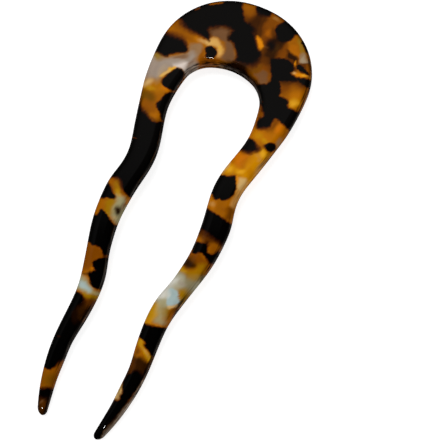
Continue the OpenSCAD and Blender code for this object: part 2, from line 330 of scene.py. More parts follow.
# Veils of colour in the sheet, laid over honey in this order. Each is a tint, the softness of its edge,
# how strong it is, and its closed outline in plan.
VEILS = [
    # Left shoulder and the band above it
    ("cinnamon", 2, 0.7, [(-20, 45), (-16.5, 43.8), (-13, 42.8), (-13, 42), (-16, 42.2), (-20, 42.8)]),
    ("toffee", 1.4, 0.7, [(-18, 41.2), (-15, 41.6), (-12.8, 41), (-12.4, 40.2), (-15, 39.8), (-18, 39.8)]),
    ("amber", 1.4, 0.9, [(-12, 42), (-9.6, 42), (-8.4, 41.4), (-8.8, 40.6), (-11, 40.5)]),
    ("sand", 1.4, 0.9, [
        (-20.5, 33.9), (-18.2, 33.8), (-16.4, 33.6), (-15.1, 34.6), (-13.4, 35.7), (-12.1, 36.8),
        (-12.2, 38.4), (-11.8, 39.8), (-10.2, 40.5), (-9, 39.8), (-8.7, 38.5), (-9, 37), (-9, 35.6),
        (-8.9, 34.4), (-9.4, 32.8), (-10.2, 31), (-11.6, 32.2), (-13.2, 31.8), (-14.4, 29.4),
        (-14.8, 27.4), (-15.6, 26.2), (-17.4, 25.8), (-20.5, 26.2)]),
    ("ash", 1.8, 1, [
        (-20.5, 32.6), (-18, 32.4), (-16.2, 32.8), (-14.6, 34), (-13, 34.8), (-11.6, 35.8), (-11, 37),
        (-10.4, 37.6), (-9.9, 37), (-9.5, 35.6), (-8.2, 34.8), (-7.6, 33.4), (-8.6, 31), (-10, 30.6),
        (-11.6, 32), (-13.4, 32), (-14.6, 30.6), (-15.2, 28.6), (-16, 27.6), (-17.4, 27.2),
        (-20.5, 27.6)]),
    ("milk", 1.8, 0.85, [
        (-13.6, 32.3), (-12.8, 33.2), (-11.7, 34.2), (-10.8, 34.3), (-10.6, 33.3), (-10.8, 32),
        (-12.6, 31.8)]),
    ("gold", 0.7, 0.9, [
        (-15.3, 28.2), (-15, 29.6), (-14.4, 31), (-13.3, 32.2), (-12.6, 32), (-13.4, 30.8),
        (-14.1, 29.4), (-14.5, 28.4)]),
    ("saffron", 1.6, 0.3, [
        (-18.6, 26.2), (-15.4, 26.8), (-13.4, 26.4), (-12.6, 25.2), (-15, 23.8), (-18.6, 24)]),
    ("bracken", 2.4, 0.9, [
        (-18, 23.7), (-15.6, 23.6), (-14.4, 22.8), (-14.2, 21.8), (-15, 20.8), (-17.8, 20.5)]),
    ("toffee", 1.5, 0.8, [(-17, 20.8), (-14.4, 21), (-13, 20), (-12.6, 18.6), (-14, 18.6), (-16.4, 19.4)]),
    ("chestnut", 1.1, 0.8, [
        (-18, 19.9), (-15.6, 19.3), (-14, 18.4), (-13, 17.8), (-11.6, 17.6), (-10, 18.2), (-8, 17.2),
        (-12.4, 16), (-16, 16.8), (-18, 18)]),
    # By the left of the arch and over it
    ("toffee", 1.2, 0.9, [
        (-8.9, 39.4), (-8.3, 39.4), (-8, 38.2), (-7.2, 37.2), (-5, 37), (-4.6, 35.4), (-6.4, 34.2),
        (-7.6, 34.2), (-8.6, 36), (-8.8, 38)]),
    ("cinnamon", 1.2, 0.9, [
        (-7.6, 37), (-5.6, 37.8), (-4.8, 38.8), (-3.4, 38.4), (-4, 37), (-5.6, 36), (-8, 34.9)]),
    ("taupe", 1.2, 1, [
        (-9.4, 45.2), (-8, 46.2), (-6.8, 47), (-5, 47), (-4.2, 46), (-4.3, 44.7), (-4.6, 43.6),
        (-6.5, 43.6), (-8, 43.4), (-9, 44)]),
    ("taupe", 1.2, 1, [
        (-4.6, 44.2), (-3, 43.8), (-1.8, 42.8), (-1, 41.6), (-0.5, 40.2), (-0.4, 39.2), (-2, 38.7),
        (-3.6, 38.8), (-3.8, 40.6), (-3.8, 42), (-4.4, 43)]),
    ("peach", 1.4, 1, [
        (-9, 42.2), (-8, 43.1), (-6.4, 43.3), (-5.2, 42.6), (-4.3, 41.7), (-3.9, 40.4), (-4, 39),
        (-5, 38.8), (-5.4, 40.8), (-6.6, 41.6), (-8.2, 41.2)]),
    ("apricot", 1.2, 1, [
        (-8.6, 41), (-7.8, 42.5), (-6.2, 42.8), (-5.2, 42.1), (-4.3, 41.2), (-4.2, 40.2), (-4.9, 39.8),
        (-5.3, 40.8), (-6.4, 41.2), (-7.4, 41)]),
    ("umber", 1.4, 1, [
        (-3.2, 38), (-1.6, 38.9), (0, 39.6), (2, 40), (3.6, 39.4), (4.6, 38.3), (6, 37.5), (8, 37),
        (9.4, 35.8), (8.4, 34), (4.5, 35), (0, 36), (-2.8, 36.4)]),
    ("smoke", 0.9, 1, [
        (-1.8, 38), (-0.8, 38.8), (0.2, 39.4), (1.8, 39.6), (3, 39.2), (3.4, 38.2), (3.8, 37.4),
        (5, 36.4), (4.5, 35.4), (0, 36.2), (-1.8, 36.4)]),
    # Crown, top and right of its middle
    ("cinnamon", 2.4, 1, [
        (-6, 59), (-4.6, 54), (-3, 50), (1, 47), (4.4, 44.4), (4.4, 42), (3.4, 40), (4.6, 38.6),
        (8, 36.6), (10, 38), (9.6, 43), (11.8, 45.6), (10.2, 47.2), (9.8, 50), (10, 52), (7, 59)]),
    ("amber", 2, 0.3, [(-6, 59), (-4.8, 54.6), (-3.8, 53), (-2, 52.6), (-1.2, 54.4), (-1.4, 59)]),
    ("toffee", 2, 0.5, [(2.4, 55.6), (4.6, 55.4), (5.6, 53), (4.6, 51), (3.2, 51.6), (2.8, 53.6)]),
    ("chestnut", 1.6, 1, [(-3, 51.6), (-1.8, 52), (-0.6, 51.8), (-0.2, 50), (-2.6, 50)]),
    ("smoke", 1.8, 0.8, [
        (-0.8, 54.9), (0.2, 55), (1.2, 54.6), (1.8, 52.6), (2, 50.4), (2, 48.4), (0, 48.6),
        (-1, 50.2), (-0.8, 51.8)]),
    ("umber", 1.4, 0.7, [
        (1.4, 55), (2.4, 54), (2.6, 52), (2.9, 49.8), (3.2, 48.6), (2.2, 48.4), (1.6, 52)]),
    ("tangerine", 0.9, 1, [
        (1.8, 48.4), (3, 47.8), (3.9, 47.1), (4.8, 46.3), (5.3, 45.9), (4.8, 45.2), (4.2, 44.7),
        (3.3, 45.8), (2.5, 46.8), (1.8, 47.7)]),
    ("chestnut", 1.6, 1, [
        (4.8, 52), (5.4, 50), (5, 48.2), (5.4, 46.6), (5.2, 45), (4.9, 42.5), (5.4, 41), (8, 41.4),
        (8.8, 40), (9, 42), (8.6, 44.2), (9.2, 45.4), (9.6, 47.5), (9.2, 49.6), (7, 50.4)]),
    ("umber", 1.5, 1, [
        (5.4, 49), (6.4, 50), (8.4, 49.6), (9, 48.2), (8.7, 46), (8.6, 44.4), (8.4, 42.8), (7, 42.8),
        (5.8, 43.8), (5.6, 46)]),
    ("cinnamon", 1.2, 0.9, [
        (9.4, 49.2), (10.5, 49.6), (10.9, 47.8), (10.8, 46.4), (10.1, 45.5), (9.5, 46), (9.3, 47.4)]),
    ("toffee", 2, 0.5, [(5.8, 40), (8, 40), (9.4, 39.6), (9.6, 38), (9, 36.8), (7, 37.2), (5.8, 38.4)]),
    ("bracken", 1.6, 0.5, [(4, 38.8), (4.8, 40), (6.2, 41), (6.6, 39.8), (5.6, 38.6), (4.6, 38)]),
    ("taupe", 1.2, 0.85, [
        (6.5, 39.2), (7.4, 39.9), (8.3, 39.6), (8.9, 38.6), (9.4, 37.5), (9.1, 36.8), (8.2, 36.3),
        (7.3, 36.8), (6.3, 37.7), (5.5, 38.5)]),
    ("umber", 2.2, 0.8, [
        (2.6, 39.4), (3.8, 40.2), (4.8, 41), (5.4, 42.6), (5, 44.6), (3.6, 44.4), (3, 41), (2, 40)]),
    # Right of the crown
    ("honey", 1.4, 0.9, [
        (10.2, 50.6), (11.4, 51.6), (12.6, 50.8), (13.6, 49.6), (14.2, 48.6), (13.9, 47.4),
        (12.4, 47.4), (10.9, 47.8), (10.2, 49.2)]),
    ("marmalade", 1.2, 0.3, [(10.8, 49), (12, 49.4), (13.4, 48), (13.4, 47), (12, 47.3), (10.6, 48)]),
    ("olive", 1, 0.8, [
        (11.6, 52.4), (13.2, 51.2), (14.5, 49.6), (15, 48.4), (14, 48.2), (13.2, 49.4), (12.2, 50.5)]),
    ("sand", 0.7, 1, [
        (13.9, 48.4), (14.8, 48.7), (16, 47.8), (17, 46.6), (17, 46.1), (15.8, 45.8), (14.9, 45.4),
        (14.3, 46.1), (13.7, 46.9), (13.6, 47.7)]),
    ("pearl", 0.9, 0.7, [(14.6, 48), (15.6, 47.3), (16.4, 46.3), (15.2, 45.9), (14.4, 46.6)]),
    ("chestnut", 0.7, 1, [
        (10, 47.9), (11.6, 47.5), (13, 47), (13.9, 46.3), (14.5, 45.5), (14.6, 44.7), (14.2, 44),
        (13.2, 44.4), (12, 45), (11, 45.2), (10.8, 46)]),
    ("smoke", 0.4, 0.85, [
        (10.9, 47.4), (12.2, 46.9), (13.2, 46.4), (13.9, 45.6), (14.3, 44.6), (13.9, 43.9),
        (13.5, 44.7), (13, 45.4), (12.4, 45.5), (11.6, 45.9), (11.2, 46.5)]),
    ("chestnut", 0.6, 1, [
        (14.7, 45.4), (15.8, 46), (17, 46.3), (19, 44.8), (19.2, 43.6), (17.4, 43.4), (16.6, 43.3),
        (15.4, 43.4), (14.6, 44)]),
    ("toffee", 0.8, 0.9, [
        (16.4, 45.9), (17.4, 45.8), (18.8, 44.2), (18.8, 43.2), (17.8, 43.6), (16.9, 45)]),
    ("chestnut", 0.8, 1, [(13.2, 44.4), (14.2, 44.6), (14.6, 43.2), (14, 42.7), (13.4, 43.4)]),
    ("tangerine", 0.6, 1, [
        (14.1, 42.5), (15, 42.8), (16, 43.3), (17, 43.3), (17.8, 43), (16.9, 42.5), (16, 42.1),
        (15.2, 41.9), (14.3, 42.1)]),
    ("cinnamon", 2.4, 1, [
        (11.6, 39.4), (14, 40.8), (18.6, 40.8), (19.6, 40), (18.4, 38.9), (16, 38.8), (14.8, 37.4),
        (14, 35.6), (13, 35.4), (12, 37.6)]),
    ("umber", 1.5, 0.7, [
        (11.4, 39.6), (14, 41), (19.6, 41.4), (19, 40.2), (16.5, 39.8), (14, 38.8), (12.4, 38.4)]),
    ("amber", 1.6, 0.7, [(16, 37.4), (18, 37.6), (18.8, 36), (18.6, 33.8), (16.8, 33.4), (16, 35)]),
    ("cinnamon", 1.3, 0.9, [(10.8, 31), (11.6, 30.2), (12.2, 29.2), (12.2, 27.8), (11, 27.6), (10.2, 29.6)]),
    ("cinnamon", 1.4, 0.9, [(13.4, 26.2), (14.3, 27.2), (15, 29.4), (16.4, 29), (15.2, 26.8), (14, 25.4)]),
    # Right leg, downward
    ("amber", 2, 0.9, [
        (11, 25.2), (13, 25.4), (14.8, 25), (17, 26), (16.6, 23.4), (13.6, 21.6), (12, 22.4),
        (10.4, 22.4)]),
    ("saffron", 2, 0.95, [
        (8, 15), (11, 14.2), (12.6, 14.6), (13, 16.8), (13.6, 18.8), (15, 20.6), (17.4, 20.4),
        (16.6, 15), (15.6, 10), (14.8, 6.5), (13.2, 9), (12.4, 12.4), (10.5, 12), (8, 11.4)]),
    ("marmalade", 2.6, 0.8, [
        (9, 18.2), (12.2, 18.2), (13, 17), (12.4, 15.4), (11.4, 14.4), (9.6, 15.4)]),
    ("chestnut", 1.2, 0.8, [(8, 18.8), (11.2, 18.9), (12.6, 19), (12.9, 18.2), (11.6, 17.8), (8, 18)]),
    ("peach", 1.4, 0.8, [
        (13.6, 11.4), (15.8, 11.4), (15.4, 8), (15, 4.6), (13.9, 4.4), (13.6, 7), (13.3, 9.6)]),
    ("cream", 0.8, 0.9, [
        (12.8, 11.7), (13.8, 12.1), (14.6, 11.9), (14.8, 10.8), (14.5, 9.6), (13.9, 9.1),
        (13.4, 10.2), (12.9, 11.2)]),
    ("amber", 1.4, 0.7, [(7, 4.6), (9.8, 4.6), (10.4, 3.2), (10, 2), (7, 2.2)]),
    ("chestnut", 1.4, 0.8, [(13.2, 3.8), (14.6, 4), (15.2, 2), (14.8, 0.9), (13.6, 1)]),
    ("chestnut", 1.6, 0.95, [
        (6, -3.4), (12, -3.8), (18, -4), (18, -6), (14.6, -5.4), (12, -6), (9, -5), (6, -5)]),
    ("toffee", 1.4, 1, [(12.9, -6), (18, -6), (18, -7), (15, -7.4), (13.6, -8), (13, -7)]),
    ("cinnamon", 1.8, 0.9, [
        (9, -9.8), (11.6, -8.9), (13, -9.3), (15.6, -10.4), (15, -12.6), (12.8, -12.8), (11.8, -11.6),
        (9, -10.8)]),
    ("honey", 1.4, 0.8, [
        (10.8, -13.4), (12, -12.8), (14.4, -11.8), (14.8, -13), (12.4, -14.6), (10.6, -14.6)]),
    ("smoke", 1.8, 0.95, [
        (8.6, -10.9), (10.4, -10.8), (11.7, -11.4), (11.9, -12.3), (11.2, -13.1), (9.6, -13.3),
        (8.4, -12.8)]),
    ("lemon", 1, 0.8, [(8.8, -13.6), (10, -13.8), (10.9, -14.4), (10, -15), (8.6, -15)]),
    ("lichen", 1.6, 1, [
        (9, -15), (11.6, -14.8), (13.2, -14), (16, -13.2), (16.6, -15.4), (15.6, -17.8), (14, -19.4),
        (11.4, -19), (10, -19.4), (9, -17)]),
    ("mustard", 1.6, 0.75, [
        (12.4, -11.4), (13.9, -10.8), (14.3, -12.8), (14, -15.2), (13, -15.6), (11.6, -15.2),
        (10.2, -14.8), (10.4, -14), (11.6, -13.6), (12.2, -12.6)]),
    ("fog", 1.7, 1, [
        (7, -15.2), (9.6, -15.2), (11, -15.9), (11.2, -17.6), (10.8, -19.4), (10.6, -22), (10, -23.4),
        (8.6, -23.8), (7.4, -24), (5, -21)]),
    ("fog", 1, 0.6, [(13.4, -16), (16, -15.2), (16, -18), (14, -18.6)]),
    ("snow", 1.6, 0.85, [
        (6, -16), (9, -16.4), (9.3, -17.4), (9, -18.8), (8.5, -20.4), (8, -22.2), (6, -22.2),
        (5, -21), (5, -18)]),
    ("mustard", 1.9, 0.9, [
        (10.4, -18.8), (12, -17.9), (13.6, -18.5), (13.6, -20.4), (12.4, -21.6), (11.4, -20.6),
        (10.8, -19.8)]),
    ("sand", 1.2, 0.8, [(11.6, -20.6), (12.8, -20.4), (13, -22), (12.2, -23.4), (11.4, -22.6)]),
    ("sage", 1.6, 0.8, [
        (7.6, -22.4), (9, -22.2), (10.2, -23.4), (9.8, -25), (9.6, -26.4), (10.4, -27), (10.2, -27.6),
        (8.8, -27.6), (8.4, -26.4), (7.8, -25)]),
    ("olive", 1.2, 0.9, [(9.6, -23.8), (10.8, -23.4), (11, -25.4), (10, -26.1), (9.2, -25.4)]),
    ("toffee", 1, 0.9, [
        (11.1, -23.5), (12.4, -22.4), (12.8, -24.4), (12, -25.8), (11.2, -25.4), (10.7, -24.4)]),
    ("cream", 0.6, 0.8, [
        (9.9, -22.7), (11, -22.2), (11.9, -21.6), (11.8, -22.6), (11, -23.2), (10.3, -23.7)]),
    ("ice", 0.5, 1, [
        (8.8, -19.4), (9.6, -18.9), (10.4, -19.6), (11.1, -20.4), (11.7, -21.1), (11.7, -21.7),
        (11, -22.2), (10.2, -22.7), (9.5, -22.7), (9, -22), (8.6, -20.9)]),
    ("mustard", 1.2, 0.6, [(8.8, -24.2), (10, -24), (10.2, -25.4), (9.4, -25.8), (8.8, -25.4)]),
    ("lemon", 1.2, 0.7, [
        (5.8, -23.8), (7.4, -23.6), (8.4, -25.2), (8.4, -26.8), (7.6, -28.8), (5.8, -28.8)]),
    ("sage", 1.6, 0.35, [
        (7.8, -22.4), (9.4, -22.6), (9.8, -24.4), (10.6, -25.8), (11.2, -27.4), (8.4, -27.8),
        (8.1, -26), (7.9, -24.4)]),
    ("lemon", 0.8, 0.75, [
        (7.1, -32.7), (7.9, -32.6), (8.3, -33.6), (9.4, -34.5), (10.9, -35.1), (11.3, -36),
        (10.6, -36.5), (9.8, -36.1), (8.9, -35.3), (8.4, -34.5), (7.4, -34)]),
    ("umber", 1.4, 1, [
        (6, -37), (8, -36.9), (9, -36.6), (10.4, -36.8), (12, -37), (12, -41), (9, -42), (6, -43)]),
    ("chestnut", 0.9, 0.7, [(7.4, -37), (8.4, -37.6), (8.6, -39.4), (8.2, -41), (7.8, -41), (7.4, -39)]),
    ("cream", 0.6, 0.85, [
        (6.4, -43.2), (7.8, -43.4), (8.3, -44.8), (8.7, -45.7), (8.4, -46.3), (8.5, -47),
        (8.1, -47.4), (6.2, -47.4)]),
    ("umber", 1.2, 0.9, [
        (8.6, -48), (10.6, -48), (9.8, -52), (9.2, -55), (8.8, -58.5), (6, -58.5), (7, -52)]),
    # Grey band along the right rim down to the end: painted sheen on that rounded edge
    ("ash", 0.8, 0.95, [
        (13, -41.6), (12.8, -43), (12, -47), (11, -51), (9.8, -55.4), (8, -57.5), (8.1, -54.8),
        (8.9, -52.6), (9.6, -50), (10.6, -46.6), (11.1, -43), (11.4, -41.4)]),
    # Left leg, downward
    ("toffee", 1.2, 0.7, [(-15.4, -0.2), (-13.6, 0.2), (-12, -1.6), (-11.4, -3.2), (-13, -3.2)]),
    ("mustard", 1.2, 0.7, [(-13.6, -0.4), (-12.2, -1.6), (-11.2, -3), (-12.4, -3.6), (-13.4, -2.2)]),
    ("cinnamon", 0.9, 0.8, [
        (-13, 0.3), (-12, -0.6), (-10.8, -1.8), (-10, -2.2), (-10.8, -2.9), (-12.2, -1.8)]),
    ("sage", 1.5, 1, [
        (-12.2, -3.7), (-11.4, -3.2), (-10.2, -3.6), (-9, -4.4), (-8.6, -6), (-8.2, -8), (-8.6, -10),
        (-10.2, -9.8), (-11, -9.1), (-11.8, -8.2), (-12, -6.6), (-12, -5.2)]),
    ("mustard", 1.4, 0.9, [
        (-13.6, -5.4), (-12, -5), (-11.4, -7), (-11.6, -8.8), (-13, -8.6), (-13.6, -7)]),
    ("cinnamon", 2.4, 0.9, [
        (-14, -17), (-10.6, -16.4), (-9, -17.6), (-8, -18.8), (-9.4, -19.8), (-10, -21.6),
        (-10.6, -22.8), (-14, -23)]),
    ("umber", 0.5, 0.8, [(-12, -24.1), (-10.9, -23.7), (-9.9, -23.1), (-9.8, -23.9), (-10.8, -24.1)]),
    ("sage", 1.2, 1, [
        (-12, -24.9), (-10.6, -24.7), (-9.6, -25.1), (-8.8, -25.9), (-7.8, -26.4), (-6.8, -26.7),
        (-5.4, -26.6), (-5.2, -27.7), (-7, -28), (-8.6, -28), (-10, -28), (-12, -28.2)]),
    ("ice", 1, 0.9, [
        (-11.2, -25.8), (-10, -25.4), (-9, -26.2), (-7.8, -26.9), (-7.9, -27.4), (-9.4, -27.3),
        (-11, -27.2)]),
    ("mustard", 0.8, 1, [
        (-9.6, -28.1), (-8, -27.9), (-5.6, -27.9), (-5.4, -29), (-7.6, -29.2), (-9, -28.8)]),
    ("chestnut", 1.6, 1, [
        (-9.4, -29), (-7.6, -28.9), (-5, -29), (-5, -31.6), (-7, -31.4), (-8.8, -31)]),
    ("umber", 1.8, 1, [
        (-9.4, -30), (-7, -30.6), (-4.6, -31), (-4.6, -34), (-7, -34.2), (-9.4, -34)]),
    ("smoke", 1.8, 1, [
        (-12, -31), (-9.4, -31), (-8.4, -32.6), (-7, -34), (-4.6, -34), (-4.6, -38), (-9, -38),
        (-12, -36)]),
    ("toffee", 1.4, 0.9, [
        (-10.4, -47.4), (-7, -43.6), (-6, -44), (-5.6, -52), (-8, -52.4), (-10.4, -51)]),
    ("umber", 1.2, 1, [(-10, -53), (-5, -53), (-5, -58.5), (-9, -58.5)]),
    ("chestnut", 1, 0.6, [(-8.2, -53.8), (-7, -54), (-6.4, -55.4), (-6.6, -56.6), (-7.4, -55.8)]),
]

# Small clouds of colour, laid over the veils in this order: tint, middle x and y, reach along the
# cloud and across it, turn of its length from +X in degrees, and how strong it is
CLOUDS = [
    ("cream", -15.4, 29.2, 1, 2.2, 0, 0.25),
    ("taupe", -18, 30, 1.2, 3.4, 0, 0.1),
    ("ash", -18.2, 27.2, 1, 1.2, 0, 0.5),
    ("lemon", -16.2, 24.5, 1.3, 0.6, 10, 0.5),
    ("toffee", -12, 37.6, 0.7, 1.4, 0, 0.4),
    ("taupe", -12.9, 35.1, 2, 0.5, 33, 0.7),
    ("taupe", -9.9, 34.6, 0.45, 1.7, -14, 0.6),
    ("cinnamon", -15.2, 19.2, 1.6, 0.6, -20, 0.5),
    ("olive", -18.4, 33, 1.2, 1.6, 90, 0.9),
    ("gold", -14.3, 31, 0.6, 0.6, 0, 0.7),
    ("cream", -14.4, 29.8, 0.6, 1.4, -20, 0.7),
    ("cream", -17.6, 25.4, 1.5, 1, 60, 0.8),
    ("marmalade", -12.8, 25.7, 1.5, 0.8, 0, 0.7),
    ("amber", -12.3, 18.5, 1.4, 0.9, 20, 0.4),
    ("cream", -9.4, 41.3, 1.8, 0.6, 4, 0.5),
    ("smoke", -9.1, 32.8, 0.3, 1.2, -24, 0.8),
    ("gold", -4.9, 41.2, 0.7, 0.8, 30, 0.5),
    ("umber", -1.8, 39, 0.9, 0.5, 0, 0.3),
    ("umber", 4, 39, 0.9, 0.6, 0, 0.35),
    ("sand", -2.4, 36.8, 1.4, 0.5, 0, 0.5),
    ("marmalade", -3.2, 54.6, 1, 1, 0, 0.15),
    ("peach", 4.6, 54.7, 1.3, 0.6, -15, 0.35),
    ("marmalade", 4.3, 50.2, 0.8, 1.2, 0, 0.35),
    ("tangerine", 3.9, 46.5, 0.8, 0.5, -50, 0.5),
    ("taupe", 5.6, 46.1, 0.6, 0.4, 0, 0.5),
    ("bracken", 7.7, 46.8, 0.9, 1.3, 0, 0.25),
    ("smoke", 7.8, 49.3, 1.8, 0.6, 15, 0.7),
    ("chestnut", 6.6, 43.2, 0.9, 0.9, 0, 0.7),
    ("chestnut", 4.3, 38.2, 1.4, 0.6, -20, 0.6),
    ("peach", 18.1, 43.1, 0.9, 0.3, -15, 0.4),
    ("tangerine", 13.9, 44.9, 0.3, 0.8, 20, 0.9),
    ("gold", 16.8, 43, 0.8, 0.35, 10, 0.6),
    ("cream", 14.3, 42.4, 0.7, 0.4, 10, 0.6),
    ("gold", 17.6, 34.9, 1.5, 1.2, 80, 0.7),
    ("amber", 17, 37, 1.2, 2, 0, 0.4),
    ("marmalade", 16.7, 27.2, 1.1, 1.4, 0, 0.9),
    ("lemon", 12.9, 23.5, 1.4, 1.1, 0, 0.4),
    ("lemon", 14.7, 22.7, 0.9, 0.6, 0, 0.5),
    ("gold", 15.8, 19.5, 0.8, 1.1, 0, 0.9),
    ("peach", 15.3, 17.9, 0.8, 0.8, -20, 0.5),
    ("peach", 14.6, 18.8, 0.9, 0.5, 20, 0.3),
    ("sand", 18.3, 23.5, 0.7, 2, 0, 0.8),
    ("amber", 14.8, 13.9, 0.8, 1.8, 0, 0.5),
    ("peach", 16.4, 16, 0.7, 2.2, -12, 0.9),
    ("gold", 12.4, 13.3, 1.2, 0.8, 20, 0.6),
    ("tangerine", 12.6, 11.4, 0.25, 1.2, 22, 0.7),
    ("cream", 8.9, 12.6, 0.4, 2, -8, 0.6),
    ("gold", 9.8, 12.6, 0.9, 1, 0, 0.6),
    ("cinnamon", 13.1, 3.2, 1, 0.9, 0, 0.4),
    ("peach", 9.4, 3.1, 0.8, 0.8, 0, 0.7),
    ("smoke", 14.6, -14.2, 0.3, 1.6, 10, 0.8),
    ("ash", 10.6, -17, 1.2, 0.7, 0, 0.5),
    ("lemon", 12.4, -20.9, 0.8, 1, 0, 0.7),
    ("snow", 8.9, -20.6, 0.6, 1.2, 0, 0.6),
    ("marmalade", 7.2, -28.1, 0.8, 0.7, 0, 0.5),
    ("amber", 9.3, -28.2, 1.6, 0.45, 10, 0.8),
    ("peach", 9.6, -35, 1.4, 0.4, -35, 0.6),
    ("chestnut", 7.8, -35.6, 0.6, 0.8, 0, 0.6),
    ("olive", 7.5, -44.8, 0.5, 1.4, 0, 0.6),
    ("amber", -9.3, -4.2, 0.4, 1.2, 0, 0.9),
    ("lemon", -12.2, -3, 1.1, 0.6, -30, 0.6),
    ("toffee", -14.1, -5.7, 0.9, 0.4, 10, 0.6),
    ("taupe", -9.6, -5.6, 0.35, 1.6, -8, 0.8),
    ("umber", -10.3, -7.2, 0.75, 1.25, 14, 1),
    ("smoke", -10.3, -7.2, 0.45, 0.8, 14, 0.8),
    ("cream", -10.2, -9, 0.5, 0.6, 0, 0.5),
    ("marmalade", -9.6, -22.2, 0.8, 0.45, 10, 0.5),
    ("peach", -10.6, -24.8, 1, 0.3, 20, 0.2),
    ("lemon", -6.8, -27.2, 0.8, 0.5, 0, 0.3),
    ("marmalade", -14.2, 11, 0.5, 0.2, 0, 0.3),
    ("bracken", -8.3, -49.4, 1.6, 2.2, 0, 0.7),
    ("taupe", -7.5, -54.6, 0.25, 1.2, -20, 0.55),
    ("umber", -6.7, -56, 0.3, 0.8, 20, 0.6),
]

